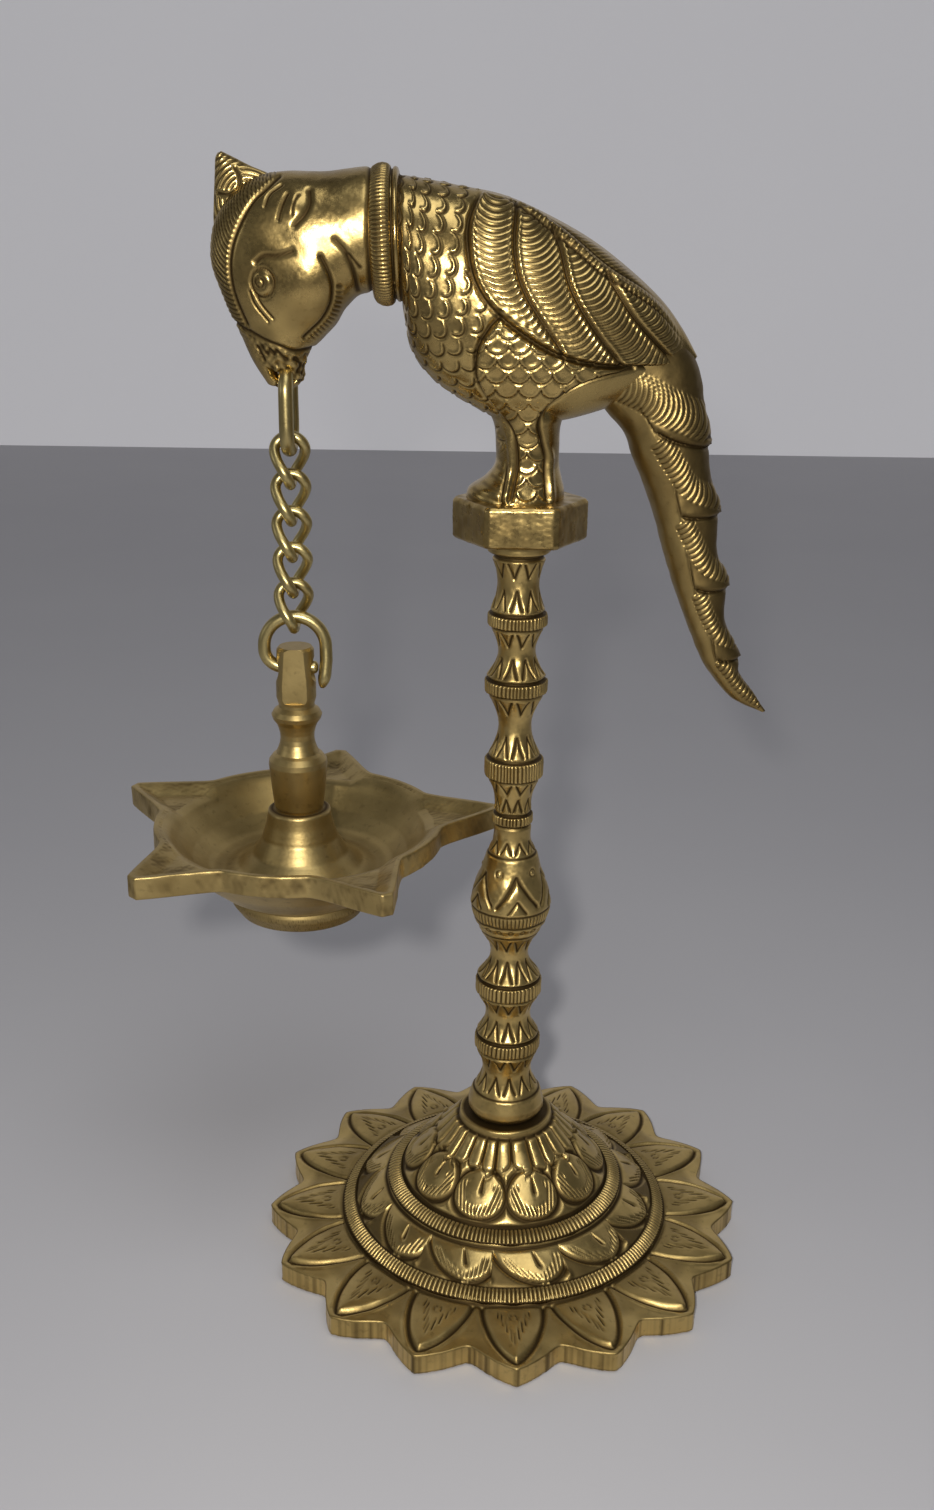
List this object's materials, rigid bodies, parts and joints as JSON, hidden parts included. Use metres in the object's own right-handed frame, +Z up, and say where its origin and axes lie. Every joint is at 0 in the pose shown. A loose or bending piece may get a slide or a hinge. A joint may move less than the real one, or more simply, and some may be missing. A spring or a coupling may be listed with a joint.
{
  "type": "standing oil lamp",
  "caption": "Brass standing oil lamp: a chased bird on a turned pillar and lotus base holds a spouted oil bowl on a chain from its beak.",
  "frame": {"origin": "on the pillar's axis, in the plane of the filed edge that the base stands on", "axes": "+Z up along the pillar; the bird faces -X, its tail points to +X; +Y is the bird's right-hand side, away from the viewer"},
  "size_m": [0.1793, 0.14, 0.3015],
  "materials": {
    "chased_brass": "cast, chased and buffed, dark patina in the cuts",
    "lamp_brass": "turned cast brass, satin, slightly tarnished",
    "wire_brass": "drawn brass wire, satin",
    "hardware_brass": "plain machined brass, dull"
  },
  "bodies": {
    "stand": {"lotus_base": "chased_brass", "base_washer": "hardware_brass", "base_nut": "hardware_brass", "pillar": "chased_brass", "bird": "chased_brass"},
    "long_link": {"beak_link": "wire_brass"},
    "link_1": {"chain_link_1": "wire_brass"},
    "link_2": {"chain_link_2": "wire_brass"},
    "link_3": {"chain_link_3": "wire_brass"},
    "link_4": {"chain_link_4": "wire_brass"},
    "link_5": {"chain_link_5": "wire_brass"},
    "ring": {"lamp_ring": "wire_brass"},
    "lamp": {"lamp_stem": "lamp_brass", "lamp_bowl": "lamp_brass"}
  },
  "joints": [
    {"name": "beak_swing", "type": "hinge", "parent": "stand", "child": "long_link", "pos_m": [-0.0584, 0, 0.2516], "axis": [0, 1, 0], "range_deg": [-1.2, 30]},
    {"name": "link_1_nod", "type": "hinge", "parent": "long_link", "child": "link_1", "pos_m": [-0.0584, 0, 0.235], "axis": [1, 0, 0], "range_deg": [-0.9, 25]},
    {"name": "link_2_swing", "type": "hinge", "parent": "link_1", "child": "link_2", "pos_m": [-0.0584, 0, 0.2227], "axis": [0, -1, 0], "range_deg": [-25, 1.4]},
    {"name": "link_3_nod", "type": "hinge", "parent": "link_2", "child": "link_3", "pos_m": [-0.0584, 0, 0.2162], "axis": [-1, 0, 0], "range_deg": [-25, 1.2]},
    {"name": "link_4_swing", "type": "hinge", "parent": "link_3", "child": "link_4", "pos_m": [-0.0584, 0, 0.2039], "axis": [0, 1, 0], "range_deg": [-1.8, 25]},
    {"name": "link_5_nod", "type": "hinge", "parent": "link_4", "child": "link_5", "pos_m": [-0.0584, 0, 0.1974], "axis": [1, 0, 0], "range_deg": [-1.6, 25]},
    {"name": "ring_swing", "type": "hinge", "parent": "link_5", "child": "ring", "pos_m": [-0.0584, 0, 0.1851], "axis": [0, -1, 0], "range_deg": [-25, 2.4]},
    {"name": "lamp_nod", "type": "hinge", "parent": "ring", "child": "lamp", "pos_m": [-0.0584, 0, 0.1745], "axis": [-1, 0, 0], "range_deg": [-25, 2.4]}
  ]
}
